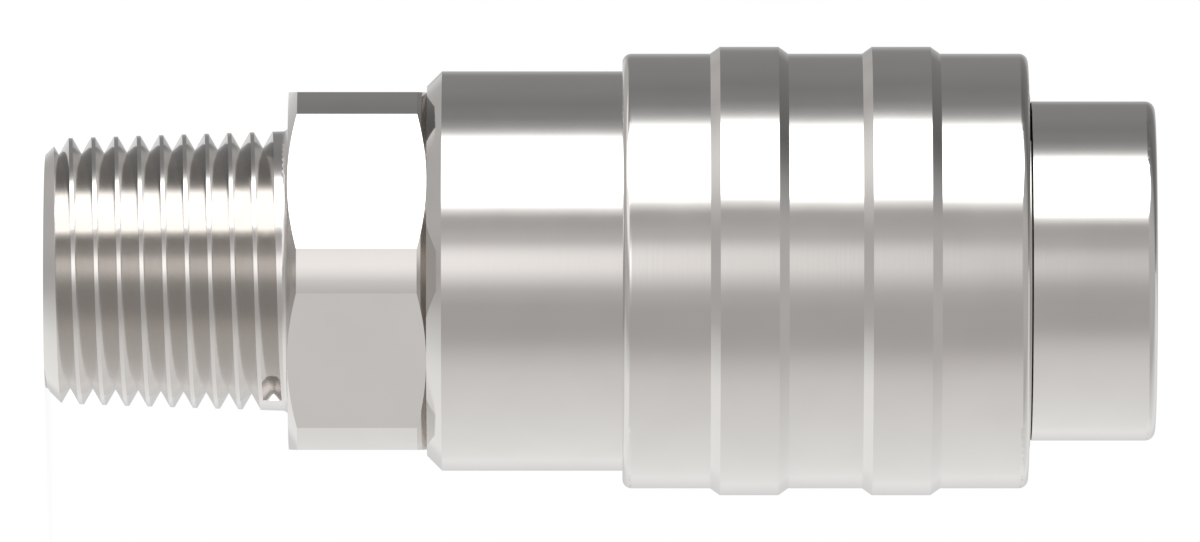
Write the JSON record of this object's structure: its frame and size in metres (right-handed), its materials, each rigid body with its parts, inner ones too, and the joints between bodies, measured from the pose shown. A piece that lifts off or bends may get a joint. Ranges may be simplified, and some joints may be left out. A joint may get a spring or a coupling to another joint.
{
  "type": "quick coupling socket",
  "caption": "Valved quick coupling socket: a spring-loaded sleeve with two grip bands locks steel balls on a plug, over a hexagon and a tapered male pipe thread.",
  "frame": {"origin": "on the socket's axis, at the end face of the pipe thread, which the part stands on", "axes": "+Z along the axis, from the thread to the mouth; a corner of the hexagon points to -Y"},
  "size_m": [0.0278, 0.0278, 0.069],
  "materials": {
    "stainless_steel": "fine turned, bright, with smooth even reflections",
    "spring_steel": "drawn wire, satin",
    "ball_steel": "ground and polished",
    "seal_rubber": "moulded black rubber, low sheen",
    "backup_plastic": "turned white plastic"
  },
  "bodies": {
    "socket": {"threaded_adapter": "stainless_steel", "adapter_seal": "seal_rubber", "socket_body": "stainless_steel", "valve_guide": "stainless_steel", "valve_spring": "spring_steel", "plug_seal": "seal_rubber", "backup_ring": "backup_plastic", "sleeve_snap_ring": "spring_steel"},
    "spring": {"sleeve_spring": "spring_steel"},
    "sleeve": {"locking_sleeve": "stainless_steel"},
    "valve": {"valve_poppet": "stainless_steel", "valve_seal": "seal_rubber"},
    "ball_1": {"locking_ball_1": "ball_steel"},
    "ball_2": {"locking_ball_2": "ball_steel"},
    "ball_3": {"locking_ball_3": "ball_steel"},
    "ball_4": {"locking_ball_4": "ball_steel"},
    "ball_5": {"locking_ball_5": "ball_steel"},
    "ball_6": {"locking_ball_6": "ball_steel"},
    "ball_7": {"locking_ball_7": "ball_steel"},
    "ball_8": {"locking_ball_8": "ball_steel"}
  },
  "joints": [
    {"name": "sleeve_turn", "type": "hinge", "parent": "socket", "child": "spring", "pos_m": [0, 0, 0.0485], "axis": [0, 0, 1], "continuous": true},
    {"name": "sleeve_slide", "type": "slide", "parent": "spring", "child": "sleeve", "axis": [0, 0, -1], "range_m": [0, 0.0045], "stiffness_N_per_m": 1500, "springref_m": -0.008, "deforming": ["sleeve_spring"]},
    {"name": "valve_slide", "type": "slide", "parent": "socket", "child": "valve", "axis": [0, 0, -1], "range_m": [0, 0.0035], "stiffness_N_per_m": 800, "springref_m": -0.006, "deforming": ["valve_spring"]},
    {"name": "ball_1_lift", "type": "slide", "parent": "socket", "child": "ball_1", "axis": [1, 0, 0], "range_m": [0, 0.00075]},
    {"name": "ball_2_lift", "type": "slide", "parent": "socket", "child": "ball_2", "axis": [0.7071, 0.7071, 0], "range_m": [0, 0.00075]},
    {"name": "ball_3_lift", "type": "slide", "parent": "socket", "child": "ball_3", "axis": [0, 1, 0], "range_m": [0, 0.00075]},
    {"name": "ball_4_lift", "type": "slide", "parent": "socket", "child": "ball_4", "axis": [-0.7071, 0.7071, 0], "range_m": [0, 0.00075]},
    {"name": "ball_5_lift", "type": "slide", "parent": "socket", "child": "ball_5", "axis": [-1, 0, 0], "range_m": [0, 0.00075]},
    {"name": "ball_6_lift", "type": "slide", "parent": "socket", "child": "ball_6", "axis": [-0.7071, -0.7071, 0], "range_m": [0, 0.00075]},
    {"name": "ball_7_lift", "type": "slide", "parent": "socket", "child": "ball_7", "axis": [0, -1, 0], "range_m": [0, 0.00075]},
    {"name": "ball_8_lift", "type": "slide", "parent": "socket", "child": "ball_8", "axis": [0.7071, -0.7071, 0], "range_m": [0, 0.00075]}
  ],
  "couplings": [
    {"joint": "ball_1_lift", "follows": "sleeve_slide", "ratio": 0.1666},
    {"joint": "ball_2_lift", "follows": "sleeve_slide", "ratio": 0.1666},
    {"joint": "ball_3_lift", "follows": "sleeve_slide", "ratio": 0.1666},
    {"joint": "ball_4_lift", "follows": "sleeve_slide", "ratio": 0.1666},
    {"joint": "ball_5_lift", "follows": "sleeve_slide", "ratio": 0.1666},
    {"joint": "ball_6_lift", "follows": "sleeve_slide", "ratio": 0.1666},
    {"joint": "ball_7_lift", "follows": "sleeve_slide", "ratio": 0.1666},
    {"joint": "ball_8_lift", "follows": "sleeve_slide", "ratio": 0.1666}
  ]
}
